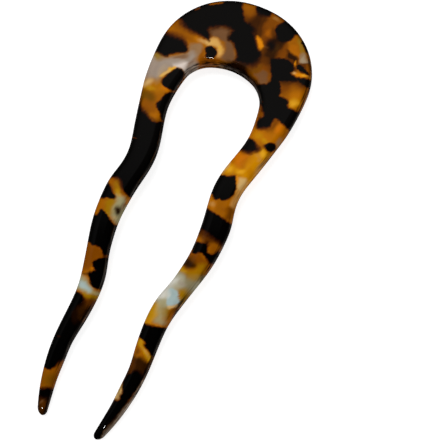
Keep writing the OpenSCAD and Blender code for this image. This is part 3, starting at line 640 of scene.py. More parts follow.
# Dark patches that reach the face, each a closed outline of places in plan, with the softness of its
# edge before them
DARK_PATCHES = {
    "crown_left": (0.6, [
        (-5, 58.5), (-4.8, 55.2), (-4.4, 54), (-3.8, 53.2), (-3.5, 52.4), (-2.9, 51.6), (-2.4, 50.8),
        (-1, 50.4), (0.6, 49.6), (0.6, 47.8), (-2, 46.7), (-4, 47), (-5.5, 47.2), (-6.8, 47.1),
        (-7.8, 46.4), (-8.9, 45.6), (-9.6, 45), (-9.2, 44.3), (-8.6, 43.4), (-8.4, 42.4), (-8.2, 41.9),
        (-9, 42.2), (-10.5, 42.4), (-12, 42.6), (-14, 42.8), (-15.5, 43.2), (-16.5, 43.8),
        (-17.4, 44.6), (-20.5, 45.6), (-19, 52), (-12, 58.5)]),
    "crown_blot": (1.7, [
        (5.2, 47.7), (5.8, 48.2), (6.6, 48), (7.1, 47.3), (7.2, 46.5), (6.5, 46.3), (6.1, 46.8),
        (5.4, 47)]),
    "crown_top": (0.42, [
        (-1.4, 58.5), (-1.3, 56), (-1, 55), (0, 54.2), (1.4, 54.2), (2.8, 54.6), (2.9, 56), (3, 58.5)]),
    "crown_centre": (0.75, [
        (-1, 50.6), (0, 49.2), (1.2, 48.3), (1.8, 47.6), (2.3, 46.8), (2.8, 46), (3.4, 45.2), (4, 44.6),
        (4.8, 44.2), (5, 43.5), (4.9, 42.6), (4.8, 41.6), (4.6, 40.8), (4, 40.2), (3, 39.9),
        (1.5, 39.7), (0.4, 39.5), (-0.4, 39.3), (-0.2, 40), (-0.4, 41.2), (-0.8, 42), (-1.7, 42.8),
        (-2.3, 43.7), (-3, 44.1), (-4.2, 44.3), (-4.3, 45.5), (-4.2, 47), (-3.4, 48.8)]),
    "crown_spot": (0.42, [
        (-8.2, 40), (-7.7, 40.7), (-6.7, 40.9), (-5.9, 40.5), (-5.3, 39.8), (-5.1, 39.1), (-5.3, 38.4),
        (-5.8, 37.8), (-6.5, 37.4), (-7.2, 37.7), (-7.6, 38.5), (-8, 39.2)]),
    "left_shoulder": (0.6, [
        (-21.5, 40), (-19, 39.8), (-16.5, 39.8), (-14.5, 39.7), (-13.5, 39.2), (-12.8, 38.5),
        (-12.1, 37.3), (-12.6, 36.6), (-13.7, 36), (-15, 35.2), (-15.8, 34.5), (-16, 33.9),
        (-17, 33.7), (-18, 33.9), (-19, 34), (-21.5, 34)]),
    "left_bean": (0.42, [
        (-12.6, 31.9), (-11.6, 32.1), (-10.6, 31.8), (-10.2, 30.9), (-10.1, 29.5), (-10.3, 28),
        (-10.5, 26.5), (-11.2, 26), (-12.2, 26), (-13.4, 26.2), (-14.3, 26.8), (-14.5, 27.6),
        (-14.2, 28.7), (-13.9, 29.6), (-13.3, 30.6), (-12.9, 31.4)]),
    "left_wedge": (0.42, [
        (-11.6, 25.2), (-12.2, 24.5), (-12.5, 23.5), (-12.7, 22.3), (-13.2, 21.6), (-13.1, 20.8),
        (-12.4, 20.2), (-11.6, 19.6), (-11, 18.8), (-10.5, 18.1), (-9.9, 18), (-7.5, 18.2),
        (-7.8, 22), (-8.5, 25.6), (-11, 25.5)]),
    "left_upper": (0.42, [
        (-18.5, 19.6), (-16.4, 19), (-15.6, 18.2), (-14.8, 17.9), (-13.8, 17.4), (-13, 16.9),
        (-12.2, 16.6), (-11.2, 16.7), (-10.4, 17.2), (-9.7, 17.6), (-7.5, 17.6), (-6.5, 8),
        (-6.5, -3), (-9, -3), (-10, -2.7), (-11, -2.2), (-11.8, -1.6), (-12.4, -0.9), (-13, -0.2),
        (-13.6, 0.1), (-14.5, 0), (-15.1, -0.2), (-17.5, -0.6), (-18.5, 8)]),
    "left_fang": (0.42, [
        (-17, -1.6), (-15.3, -1.9), (-14.4, -2.4), (-13.8, -3.1), (-13.2, -3.7), (-12.4, -4),
        (-12.1, -4.4), (-12.6, -4.9), (-13.4, -5.1), (-14.2, -5.2), (-14.8, -5.8), (-15.4, -5.9),
        (-17, -5.9)]),
    "left_middle": (0.42, [
        (-16, -10.8), (-14.4, -10.2), (-14.3, -9.2), (-14.1, -8.4), (-13.2, -8.5), (-12.4, -9),
        (-11.5, -9.6), (-10.6, -10.1), (-9.6, -10.6), (-7, -11.5), (-6, -17.6), (-8.2, -17.9),
        (-8.4, -18.4), (-8.9, -18.2), (-9.4, -17.6), (-9.9, -17.1), (-10.6, -16.8), (-11.5, -16.8),
        (-12.5, -17), (-13.1, -16.7), (-15.5, -16.5)]),
    "left_hook": (0.42, [
        (-5, -18.2), (-8, -18.6), (-8.8, -18.9), (-9.5, -19.5), (-10, -20), (-10.4, -20.7),
        (-10.1, -21.4), (-9.6, -21.9), (-9, -22.2), (-9.4, -22.6), (-10, -23.2), (-10.2, -23.6),
        (-9.8, -24.1), (-9.3, -24.8), (-8.8, -25.4), (-8, -26), (-7, -26.1), (-6.2, -26), (-4, -26)]),
    "left_lower": (0.42, [
        (-13, -29), (-10.8, -28.6), (-9.8, -28.5), (-9.1, -28.9), (-8.6, -29.6), (-8.5, -30.4),
        (-9.1, -31.2), (-9.8, -32.4), (-9.8, -34.2), (-8.6, -35.6), (-6.6, -35.6), (-3.5, -35.4),
        (-3.5, -42), (-5.5, -43.8), (-7.2, -44.2), (-7.8, -45), (-8, -45.8), (-8.3, -46.4),
        (-8.8, -47.1), (-9.4, -47.4), (-10.3, -47.4), (-12.5, -47.6), (-14, -38)]),
    "left_end": (0.5, [
        (-11, -52.8), (-9.3, -52.2), (-8.5, -51.7), (-7.8, -51.3), (-7.2, -51.1), (-6.5, -51.3),
        (-4.5, -51.8), (-4.5, -53.2), (-6.3, -53.3), (-8, -53.8), (-8.9, -53.6), (-11, -53.6)]),
    "crown_right_top": (0.5, [
        (6.3, 54), (6.8, 54.8), (7.4, 57), (9.5, 56.5), (12.2, 53.5), (10.7, 52.5), (10.6, 51.5),
        (10.3, 50.8), (9.8, 50), (9, 49.5), (8, 49.3), (7.2, 49.5), (6.6, 50.2), (6.1, 51),
        (5.6, 51.6), (5.6, 52.5), (5.8, 53.2)]),
    "right_nick": (0.4, [
        (12.9, 51.1), (13.6, 50.6), (14.3, 49.9), (14.9, 49.2), (15.6, 49.3), (14.8, 50.8), (13.4, 52)]),
    "right_chip": (0.35, [
        (14.4, 44.6), (14.8, 45.1), (15.6, 45), (16.2, 44.6), (16.9, 44.3), (17.8, 43.8), (18.1, 43.4),
        (17, 43.5), (16, 43.6), (15, 43.7), (14.5, 44)]),
    "right_strip": (0.5, [
        (15.5, 41.5), (16.5, 41.9), (17.8, 42.2), (21, 42.4), (21, 40.2), (19.1, 40.3), (18.2, 40.3),
        (17, 40.6), (16, 40.9)]),
    "right_mass": (0.55, [
        (7.8, 43.6), (9, 44.4), (10.3, 44.9), (11.5, 45.2), (12.6, 44.9), (13.4, 44.3), (13.9, 43.5),
        (14.1, 42.8), (13.6, 42.2), (14.3, 41.8), (15.5, 41.5), (16, 40.9), (15.2, 40.4),
        (14.4, 40.1), (13, 39.4), (12, 39), (12.4, 38.2), (13, 37.2), (13.3, 36.5), (13.4, 35.2),
        (14, 35.2), (15.6, 35.1), (16, 34.6), (16.2, 33.8), (16.8, 33.1), (17.8, 33.3),
        (18.7, 33.1), (21.5, 33), (21.5, 28), (18.6, 28.2), (17.5, 28.6), (16.5, 28.9),
        (15.7, 29.3), (15, 29.4), (14.6, 28.9), (14.5, 27.8), (14.4, 26.8), (13.9, 26.3),
        (13, 25.7), (12.2, 25.2), (11.6, 25.4), (11.2, 26.5), (11.3, 27.7), (11.8, 28.2),
        (12, 28.6), (11.8, 29.5), (11.2, 29.9), (10.8, 30.6), (10.3, 31.2), (9, 31.6),
        (7.5, 33), (7.5, 35.6), (8.3, 36.3), (9.5, 37), (9.9, 38.4), (9.6, 39.6), (9, 40.6),
        (8.6, 41.6), (8.2, 42.6)]),
    "right_dot": (0.42, [
        (15.2, 21.9), (15.6, 22.5), (16.3, 23), (17, 23.2), (17.7, 22.8), (17.9, 22.1), (17.6, 21.3),
        (17, 20.8), (16.3, 20.8), (15.6, 21.2)]),
    "right_nib": (0.5, [
        (8, 21.2), (10.8, 21.9), (11.6, 22.1), (12.3, 21.9), (12.9, 21.5), (13.4, 21), (14.2, 20.6),
        (14.5, 20.2), (14, 19.6), (13.2, 19.2), (12.6, 18.7), (11.5, 18.6), (10.4, 18.6), (8, 18.6)]),
    "right_upper": (0.42, [
        (6.5, 10.3), (8.8, 10.8), (9.6, 11), (10.6, 11.1), (11.2, 11.6), (11.7, 11.9), (12, 11.4),
        (12.4, 10.6), (12.9, 9.7), (13.2, 8.8), (13.2, 7.6), (13, 6.6), (12.4, 5.8), (11.8, 5.2),
        (11.2, 5), (10.5, 5.1), (10, 4.6), (9.4, 4.6), (9, 4.9), (8.6, 5.5), (6.5, 6)]),
    "right_band": (0.5, [
        (6.5, 1.9), (9.2, 1.6), (10.5, 1.4), (12, 1.2), (13.5, 0.9), (15.3, 0.5), (18, 0.2),
        (18, -4.8), (15.6, -4.7), (13, -4.4), (10.5, -3.8), (6.5, -3.7)]),
    "right_saddle": (0.42, [
        (7.5, -7), (9.6, -6.8), (10.5, -6.6), (11.5, -6.3), (12.1, -5.9), (12.5, -6.2), (12.8, -7),
        (13, -7.8), (13.6, -8.1), (14.4, -8), (15, -7.5), (15.6, -7), (17.5, -6.8), (17.5, -10.4),
        (15.4, -10), (15, -10.2), (14.2, -9.8), (13.4, -9.3), (12.6, -8.9), (11.8, -8.6),
        (11.2, -8.9), (10.8, -9.3), (10.2, -9.5), (9.8, -9.2), (9.6, -8.6), (7.5, -8.6)]),
    "right_sliver": (0.5, [
        (14.8, -21.7), (13.6, -22), (13.1, -22.5), (12.7, -22.9), (12.3, -23.5), (12.2, -24.2),
        (12.2, -25.2), (12.3, -25.6), (14, -25.6)]),
    "right_lower": (0.42, [
        (4.5, -29.4), (6.6, -29.2), (7.5, -29), (8.6, -28.8), (9.6, -28.6), (10.8, -28.4),
        (13.5, -28.4), (13.5, -35.4), (11.6, -35.3), (11.1, -35.2), (10.5, -34.7), (9.8, -34.2),
        (9.1, -33.9), (8.6, -33.7), (8.7, -33.2), (8.4, -32.8), (7.8, -32.6), (7, -32.4),
        (4.5, -32.4)]),
    "right_end": (0.45, [
        (9.3, -39.6), (10.4, -39.8), (11.2, -40.6), (11.4, -42.4), (11, -44.6), (10.6, -46.6),
        (9.7, -50.2), (9, -53), (8.2, -55.4), (7.8, -58), (4.5, -58), (5, -47.9), (7.2, -47.8),
        (8.1, -47.6), (8.5, -47), (8.2, -46.3), (8.5, -45.6), (8, -44.4), (7.6, -43.2), (7.7, -42),
        (8.4, -40.8)]),
}


def closed_curve(places, steps=5):
    """A smooth closed outline through given places.

    Between two places it is the cubic whose slope at each is half the way from the place before to
    the place after.
    """
    p1 = np.array(places, float)
    p0, p2, p3 = np.roll(p1, 1, 0), np.roll(p1, -1, 0), np.roll(p1, -2, 0)
    t = np.arange(steps)[None, :, None] / steps
    p0, p1, p2, p3 = (p[:, None, :] for p in (p0, p1, p2, p3))
    curve = p1 + t * (p2 - p0) / 2 + t ** 2 * (p0 - 2.5 * p1 + 2 * p2 - p3 / 2) \
        + t ** 3 * (1.5 * (p1 - p2) + (p3 - p0) / 2)
    return curve.reshape(-1, 2)


def depth_inside(places, outline):
    """How far each place lies inside a closed outline, below zero outside it.

    It is the least distance to the outline's straight pieces, and a place is inside if a line from it
    toward -X crosses them an odd number of times. A piece of no length or no rise counts as a tiny one,
    so that nothing is divided by zero.
    """
    step = np.roll(outline, -1, 0) - outline
    away = places[:, None, :] - outline
    share = np.clip((away * step).sum(2) / (step * step).sum(1).clip(1e-12), 0, 1)
    gap = np.hypot(*np.moveaxis(away - share[..., None] * step, 2, 0)).min(1)
    rise = np.where(step[:, 1] == 0, 1e-9, step[:, 1])
    over = (away[..., 1] >= 0) != (away[..., 1] >= step[:, 1])
    right = away[..., 0] > away[..., 1] / rise * step[:, 0]
    inside = (over & right).sum(1) % 2 == 1
    return np.where(inside, gap, -gap)


# How far the colours drift sideways for each step down through the sheet, how far they wander on the
# underside, and the two sine waves that move them there along X and along Y: how fast each turns with X
# and with Y, in radians for each millimetre, and its start
SLANT = np.array([0.15, -0.25])
UNDERSIDE_WANDER = 1.6
UNDERSIDE_WAVES = [(0.17, 0.31, 0.0), (0.37, -0.23, 1.0)]


def rings_drop(rings):
    """How far the pin was lowered onto the floor, from the height of the middle of its crown."""
    middle = rings[len(rings) // 2]
    top = middle[np.argmax(middle[:, 2])]
    return bow_height(top[1]) + SHEET_THICK - top[2]


def sheet_places(rings, turned):
    """Each point's place in plan, moved along with the colours that run slanted through the sheet.

    The move grows with the depth below the face. On the lower half of the section two slow sine waves
    move it further, so that the underside shows the same patches in other shapes.
    """
    x, y, z = np.moveaxis(rings, 2, 0)
    face = bow_height(y) + SHEET_THICK - rings_drop(rings)
    depth = np.clip(face - z, 0, None)
    below = np.clip(-turned, 0, 1) ** 2 * UNDERSIDE_WANDER
    move_x, move_y = (below * np.sin(by_x * x + by_y * y + start) for by_x, by_y, start in UNDERSIDE_WAVES)
    moved = [x + SLANT[0] * depth + move_x, y + SLANT[1] * depth + move_y]
    return np.stack(moved, axis=2).reshape(-1, 2)


def linear(tint):
    """Linear colour from 8-bit steps, by the usual curve of screen colours."""
    share = np.array(tint) / 255
    return np.where(share <= 0.04045, share / 12.92, ((share + 0.055) / 1.055) ** 2.4)


# Light that reaches the face, as a share of what makes plain white, what its gloss adds, and the least
# that a colour keeps without it
FACE_LIGHT = 0.82
GLOSS_VEIL = 0.004
LEAST_COLOUR = 0.0004

# How deep the painted shade of a rounded edge is: on an edge that faces neither way, what facing right and
# facing along the pin add, and its least and greatest depth
RIM_DEEP = 0.36
RIM_RIGHT = 0.38
RIM_ALONG = 0.28
RIM_RANGE = (0.1, 0.8)
# Where on the rounding the painted shade starts and where it is full, as the sine of the turn
SHADE_TURNS = (0.95, 0.72)
# Where the pale line, a painted highlight, lies on the rounding, its width, the share of the painted shade
# that it lifts, and how strong it is where there is no shade
HIGHLIGHT_TURN = 0.38
HIGHLIGHT_WIDTH = 0.14
HIGHLIGHT_LIFT = 0.4
HIGHLIGHT_LEAST = 0.25

# Places where the painted shade of the rounded edge is darker or paler than its direction makes it: x and y,
# how far round it, and how deep its shade is there
RIM_SPOTS = [
    (15.5, 12, 7, 0.1), (-9, 33, 3, 0.5), (0, 37, 6, 0.55), (8.5, 35, 4, 0.8),
    (-9, -8, 3, 0.15), (10.5, -50, 8, 0.5), (14.5, -16, 4, 0.12), (15, 4, 4.5, 0.15),
    (-6.2, -27.2, 2.2, 0.1), (-18.5, 36, 5, 0.1),
    (18.5, 24.5, 3.5, 0.02), (-10, 17, 2, 0.3), (-9.2, -4, 2, 0.15), (-6.6, -48.5, 4, 0.2),
    (11.7, -27, 2.5, 0.15), (-17.3, 21, 3, 0.45),
]


def rim_shade(rings, turned, outward):
    """Painted shade in the sheet's rounded edges, as the share of light left, and the strength of a painted
    highlight line on them.

    The painted light falls from 1 on the face to a dark line low on the rounding, comes up a little at the
    pale line, a painted highlight, and falls again at the outline.
    along the crown and the arch, slight on those that face left, and as a rim spot says near one.
    """
    deep = RIM_DEEP + RIM_RIGHT * outward[..., 0] + RIM_ALONG * np.abs(outward[..., 1])
    deep = np.clip(deep, *RIM_RANGE)
    for x, y, reach, spot in RIM_SPOTS:
        bell = np.exp(-((rings[..., 0] - x) ** 2 + (rings[..., 1] - y) ** 2) / reach ** 2)
        deep = blend(deep, spot, bell)
    turned = np.abs(turned)
    dark_line = soft_step(*SHADE_TURNS, turned)
    highlight_line = np.exp(-((turned - HIGHLIGHT_TURN) / HIGHLIGHT_WIDTH) ** 2)
    return 1 - deep * dark_line * (1 - HIGHLIGHT_LIFT * highlight_line), blend(HIGHLIGHT_LEAST, 1, deep) * highlight_line


# Size and length of the slow waves that make the colours' edges and the dark patches' edges wander
COLOUR_WAVES = [(0.12, 3.6), (0.03, 1.3)]
PATCH_WAVES = (0.05, 1.1)
# The three sine waves of such a shift: the way each runs in radians, how often it fits in the length, and
# its start in the shift along X and in the one along Y, which runs at a slower pace
WAVE_TURNS = np.array([0.4, 2.5, 4.6])
WAVE_FITS = np.array([1.0, 1.37, 0.73])
WAVE_STARTS = np.array([[0.3, 1.9, 4.1], [2.2, 5.0, 0.8]])
SLOWER_PACE = 0.91


def slow_waves(places, size, length):
    """A wandering shift of each place: three sine waves in different directions, of about the given
    size and length."""
    pace = 2 * np.pi / length * WAVE_FITS
    phase = places @ np.stack([np.cos(WAVE_TURNS), np.sin(WAVE_TURNS)]) * pace
    shift_x = np.sin(phase + WAVE_STARTS[0]).sum(1)
    shift_y = np.sin(phase[:, ::-1] * SLOWER_PACE + WAVE_STARTS[1]).sum(1)
    return size * np.stack([shift_x, shift_y], axis=1)


# Where a cloud and a clearing start to fade and where they end, as shares of the way to the outline
CLOUD_FADE = (0.2, 1.4)
CLEARING_FADE = (0.7, 1.3)


def cloud_distance(places, x, y, along, across, turn):
    """Distance from a turned ellipse's middle, 1 on its outline."""
    cosine, sine = math.cos(math.radians(turn)), math.sin(math.radians(turn))
    dx, dy = places[:, 0] - x, places[:, 1] - y
    return np.hypot((dx * cosine + dy * sine) / along, (dy * cosine - dx * sine) / across)


def lay_over(colour, tint, cover):
    """The colour with a tint laid over it, as strong as the cover says at each place."""
    return colour * (1 - cover[:, None]) + linear(TINTS[tint]) * cover[:, None]


def sheet_colour(places):
    """The translucent colour at each place: veils and then clouds laid over honey.

    A veil is full inside its outline and fades across it; a cloud is a turned ellipse that fades from
    its middle. What plain light adds by gloss is taken off.
    """
    places = places + sum(slow_waves(places, *waves) for waves in COLOUR_WAVES)
    colour = np.tile(linear(TINTS["honey"]), (len(places), 1))
    for tint, softness, strength, outline in VEILS:
        outline = closed_curve(outline)
        near = np.all((places > outline.min(0) - softness) & (places < outline.max(0) + softness), axis=1)
        cover = strength * soft_step(-softness / 2, softness / 2, depth_inside(places[near], outline))
        colour[near] = lay_over(colour[near], tint, cover)
    for tint, x, y, along, across, turn, strength in CLOUDS:
        out = cloud_distance(places, x, y, along, across, turn)
        colour = lay_over(colour, tint, strength * (1 - soft_step(*CLOUD_FADE, out)))
    return (colour - GLOSS_VEIL).clip(LEAST_COLOUR) / FACE_LIGHT


# Places where the edge of a dark patch lies deeper in the sheet and shows soft: x and y, how far round
# it, and the softness there
SOFT_EDGES = [
    (-16, 43.8, 2.6, 1.9), (-12, 43.2, 2.4, 1.6), (-9, 46, 2, 2), (-5.5, 47.6, 2.4, 1.8),
    (-9.2, 44, 1.2, 1.2), (-15.6, 39.7, 2.4, 1.6),
    (-17, 39.7, 2.6, 2.1), (-15, 18.3, 1.8, 1.2), (-18, 33.8, 1.2, 1),
    (0.9, 54.2, 1.8, 1.3), (0.8, 49, 1.6, 1.4), (4.4, 40.6, 1.8, 2.4), (2, 39.7, 2, 1.4),
    (14, 20.2, 1.4, 1.5), (12.4, 18.6, 1.8, 1.3), (10.8, 30.6, 1, 0.9), (12.8, 25.4, 1.4, 1.2),
    (15.2, 41.2, 1.2, 0.8), (-13.2, -0.3, 2, 1.4),
    (10, -3.9, 1.6, 1.6), (12.4, -4.4, 1.6, 1.6), (15.2, -4.8, 1.8, 1.6), (14.9, -10.4, 1.2, 0.8),
    (-8.2, -30.6, 1.6, 1.4), (-7, -34.5, 2, 1.8), (-7.6, -44.8, 1, 0.9), (-7.5, -51.4, 1.4, 0.9),
    (-7.4, -53.4, 1.6, 1.4), (10.6, -40, 1.4, 1.2), (10.6, -46, 2.5, 0.8), (9.4, -52.5, 2.5, 1.2),
    (7.5, -29.2, 1.2, 0.7),
]

# Thin places in the dark patches, where the sheet shows through: x and y, reach along and across, turn
# in degrees, and how far it clears
CLEARINGS = [
    (-10.9, 52.5, 2.3, 0.5, 32, 0.76), (-14.6, 49.2, 1, 0.6, 45, 0.55), (-5.2, 56.4, 1.6, 0.35, 8, 0.7),
    (-2.6, 56.7, 0.8, 0.25, 0, 0.5), (-14.3, 11, 0.8, 0.25, 5, 0.6), (-10.2, -39.6, 0.9, 0.3, 10, 0.42),
    (10.3, 32.3, 0.25, 0.4, 0, 0.5), (10.2, 30, 0.25, 1, -8, 0.7),
]


def edge_softness(places, softness):
    """The softness of a patch's edge at each place: its own, and near a soft spot blended to that
    spot's by a bell curve of the distance."""
    soft = np.full(len(places), softness)
    for x, y, reach, spot in SOFT_EDGES:
        bell = np.exp(-((places[:, 0] - x) ** 2 + (places[:, 1] - y) ** 2) / reach ** 2)
        soft = blend(soft, np.maximum(soft, spot), bell)
    return soft


# Depths in a dark patch, in widths of its edge: where no patch is near, where the sheet is fully clear and
# where it is fully dark, and the depth that a clearing starts to clear from
FAR_OUT = -20.0
FULL_CLEAR = -0.9
FULL_DARK = 0.6
BEFORE_CLEARING = 1.2
# How far out of a patch its depth is worked out in any case, and how many times its softness more
PATCH_MARGIN = 2.0
SOFT_MARGIN = 2


def sheet_dark(places):
    """How deep each place lies in a dark patch, counted in widths of that patch's edge.

    The deepest patch counts. A clearing then caps the depth, the more so the nearer its middle is.
    """
    places = places + slow_waves(places, *PATCH_WAVES)
    dark = np.full(len(places), FAR_OUT)
    for softness, outline in DARK_PATCHES.values():
        outline = closed_curve(outline)
        margin = PATCH_MARGIN + SOFT_MARGIN * softness
        near = np.all((places > outline.min(0) - margin) & (places < outline.max(0) + margin), axis=1)
        depth = depth_inside(places[near], outline) / edge_softness(places[near], softness)
        dark[near] = np.maximum(dark[near], depth)
    for x, y, along, across, turn, clearing in CLEARINGS:
        out = cloud_distance(places, x, y, along, across, turn)
        cleared = blend(BEFORE_CLEARING, FULL_CLEAR, clearing * (1 - soft_step(*CLEARING_FADE, out)))
        dark = np.minimum(dark, cleared)
    return dark


class Nodes:
    """Short calls for making and linking nodes.

    A value is a number, a colour or another node's socket. The Mix node's inputs go by number, because
    those for numbers and those for colours have the same names.
    """

    def __init__(self, tree):
        self.tree = tree
        tree.nodes.clear()

    def add(self, kind, inputs=None, **settings):
        """A node with its settings made and its inputs set or linked."""
        node = self.tree.nodes.new(kind)
        for name, value in settings.items():
            setattr(node, name, value)
        for name, value in (inputs or {}).items():
            if isinstance(value, bpy.types.NodeSocket):
                self.tree.links.new(value, node.inputs[name])
            else:
                node.inputs[name].default_value = value
        return node

    def place(self, kind="Object"):
        """Where a pattern is read: on the piece itself, or in another kind of coordinates."""
        return self.add("ShaderNodeTexCoord").outputs[kind]

    def field(self, name, output="Fac"):
        """One of the mesh's own attributes."""
        return self.add("ShaderNodeAttribute", attribute_name=name).outputs[output]

    def noise(self, place, scale, detail=3.0, rough=0.5):
        """Noise from 0 to 1 at a place, with about as many cells to the place's unit as the scale."""
        return self.add("ShaderNodeTexNoise", {
            "Vector": place, "Scale": scale, "Detail": detail, "Roughness": rough}).outputs["Fac"]

    def rescale(self, value, to_low, to_high, low=0.0, high=1.0, kind="LINEAR"):
        """The value moved from between low and high to between to_low and to_high, and kept there."""
        return self.add("ShaderNodeMapRange", {
            "Value": value, "From Min": low, "From Max": high, "To Min": to_low, "To Max": to_high},
            interpolation_type=kind).outputs["Result"]

    def maths(self, kind, a, b):
        """One number from two, by the kind of sum that is named."""
        return self.add("ShaderNodeMath", {0: a, 1: b}, operation=kind).outputs[0]

    def blend(self, share, a, b):
        """The number a share of the way from a to b."""
        return self.add("ShaderNodeMix", {0: share, 2: a, 3: b}).outputs[0]

    def join(self, kind, a, b):
        """Two colours multiplied or added."""
        return self.add("ShaderNodeMix", {0: 1.0, 6: a, 7: b}, data_type="RGBA", blend_type=kind).outputs[2]

    def colour(self, red, green, blue):
        """A colour from its three parts."""
        parts = {"Red": red, "Green": green, "Blue": blue}
        return self.add("ShaderNodeCombineColor", parts).outputs["Color"]


# The sheet's tint: cells of its clouds in a metre, and how dark and how light they make it
CLOUDY_CELLS = 420
CLOUDY = (0.84, 1.16)
# Streaks: cells in a millimetre across them, how short a millimetre along them counts, the part of the
# noise that is used, how far they move the painted shade, and the least light that is left in it
STREAK_CELLS = 2.2
STREAK_RUN = 0.12
STREAK_NOISE = (0.3, 0.7)
STREAK_MOVE = 1.2
LEAST_LIGHT = 0.08
# Edges of the dark patches: cells in a metre, how far they are ragged, in widths of the edge, and the
# powers by which red, green and blue go out
RAGGED_CELLS = 900
RAGGED = 0.12
GO_OUT = (1.3, 1.6, 2.0)
# Painted sheen, which stands in for the grey panel's reflection on the dark patches and for the highlight on
# the rounded edges: where along the pin it starts to rise and ends, in metres, how strong it is at each, the
# part of the streaks' noise that the pale line takes, how strong that makes it, and green and blue as shares
# of red
SHEEN_RISE = (-0.004, 0.03)
SHEEN_STRENGTH = (0.0008, 0.0035)
LINE_NOISE = (0.4, 0.66)
LINE_GLOW = (0.02, 0.13)
SHEEN_GREEN = 0.86
SHEEN_BLUE = 0.76
# Polish: cells in a metre of its roughness, of its slow waves and of its grain, the part of the noise that
# the roughness takes, and how rough that makes it
POLISH_CELLS = 260
WAVE_CELLS = 180
GRAIN_CELLS = 2600
POLISH_NOISE = (0.3, 0.7)
POLISH = (0.02, 0.05)


def tortoiseshell():
    """Polished cellulose acetate: honey clouds and near-black patches under a clear gloss, with painted
    shade and a painted highlight line in the rounded edges and a painted grey reflection on the dark
    patches.
    """
    material = bpy.data.materials.new("tortoiseshell")
    material.use_nodes = True
    n = Nodes(material.node_tree)
    place = n.place()
    shade = n.field("shade")

    # Streaks that run along the pin and show in the painted shade and the painted highlight line of its
    # edges
    lengthwise = n.add("ShaderNodeCombineXYZ", {
        "X": n.maths("MULTIPLY", n.field("run"), STREAK_RUN), "Y": n.field("girth")}).outputs["Vector"]
    streak = n.noise(lengthwise, STREAK_CELLS, detail=2.0)

    # The sheet's tint, a little cloudy, with painted shade where the edge turns away
    cloudy = n.rescale(n.noise(place, CLOUDY_CELLS), *CLOUDY)
    depth = n.maths("SUBTRACT", 1.0, shade)
    streaky = n.maths("MULTIPLY", depth, n.rescale(streak, -STREAK_MOVE, STREAK_MOVE, *STREAK_NOISE))
    lit = n.maths("MAXIMUM", n.maths("ADD", shade, streaky), LEAST_LIGHT)
    level = n.maths("MULTIPLY", cloudy, lit)
    body = n.join("MULTIPLY", n.field("tint", "Color"), n.colour(level, level, level))

    # Dark patches with slightly ragged edges, which let red through before green and blue
    uneven = n.rescale(n.noise(place, RAGGED_CELLS, detail=2.0), -RAGGED, RAGGED)
    ragged = n.maths("ADD", n.field("dark"), uneven)
    clear = n.rescale(ragged, 1.0, 0.0, FULL_CLEAR, FULL_DARK, "SMOOTHSTEP")
    through = n.colour(*(n.maths("POWER", clear, power) for power in GO_OUT))
    shown = n.join("MULTIPLY", body, through)

    # A warm grey painted reflection over the dark patches toward the crown, standing in for the grey panel
    # in the gloss, and the pale line on the rounded edge as a painted highlight
    along = n.add("ShaderNodeSeparateXYZ", {"Vector": place}).outputs["Y"]
    toward_crown = n.rescale(along, *SHEEN_STRENGTH, *SHEEN_RISE)
    painted_reflection = n.maths("MULTIPLY", toward_crown, n.rescale(clear, 1.0, 0.0))
    veil = n.maths("MULTIPLY", painted_reflection, shade)
    line = n.maths("MULTIPLY", n.rescale(streak, *LINE_GLOW, *LINE_NOISE), n.field("pale"))
    painted_sheen = n.maths("ADD", veil, line)
    painted_sheen_colour = n.colour(painted_sheen, n.maths("MULTIPLY", painted_sheen, SHEEN_GREEN), n.maths("MULTIPLY", painted_sheen, SHEEN_BLUE))

    # Polish that varies from place to place, over slow waves and a fine grain
    rough = n.rescale(n.noise(place, POLISH_CELLS, detail=5.0, rough=0.65), *POLISH, *POLISH_NOISE)
    waves = n.add("ShaderNodeBump", {
        "Strength": 0.015, "Distance": 0.0004, "Height": n.noise(place, WAVE_CELLS, detail=2.0)})
    grain = n.add("ShaderNodeBump", {
        "Strength": 0.02, "Distance": 0.00004, "Height": n.noise(place, GRAIN_CELLS, detail=4.0),
        "Normal": waves.outputs["Normal"]})
    shader = n.add("ShaderNodeBsdfPrincipled", {
        "Base Color": n.join("ADD", shown, painted_sheen_colour), "Roughness": rough, "IOR": 1.49,
        "Normal": grain.outputs["Normal"]})
    n.add("ShaderNodeOutputMaterial", {"Surface": shader.outputs["BSDF"]})
    return material


# The floor's card: its grey, its glow, cells of its unevenness in a metre, and how rough those make it
PAPER_GREY = 0.4
FLOOR_GLOW = 0.84
PAPER_CELLS = 900
PAPER_ROUGH = (0.85, 0.95)


def floor_paper():
    """Matt white card, a little uneven."""
    material = bpy.data.materials.new("floor_paper")
    material.use_nodes = True
    n = Nodes(material.node_tree)
    rough = n.rescale(n.noise(n.place(), PAPER_CELLS), *PAPER_ROUGH)
    shader = n.add("ShaderNodeBsdfPrincipled", {
        "Base Color": (PAPER_GREY, PAPER_GREY, PAPER_GREY, 1), "Roughness": rough, "IOR": 1.3,
        "Emission Color": (1, 1, 1, 1), "Emission Strength": FLOOR_GLOW})
    n.add("ShaderNodeOutputMaterial", {"Surface": shader.outputs["BSDF"]})
    return material


def make_piece(name, mesh, material):
    """An object at the origin that shows the mesh in one material."""
    mesh.materials.append(material)
    piece = bpy.data.objects.new(name, mesh)
    bpy.context.scene.collection.objects.link(piece)
    return piece


# Camera: where it looks, its turn to the right and its tilt from straight down in degrees, its distance,
# its lens, worked out from a focal length counted in the picture's pixels, and the nearest and farthest
# that it sees, in metres
LOOK_AT = Vector((12.31, 1.439, 2.0)) * MM
CAMERA_TURN = 23.485
CAMERA_TILT = 15.15
CAMERA_AWAY = 240.08 * MM
SENSOR_WIDTH = 36
FOCAL_PIXELS = 1000
PICTURE_PIXELS = 440
LENS = SENSOR_WIDTH * FOCAL_PIXELS / PICTURE_PIXELS
NEAREST, FARTHEST = 0.01, 20


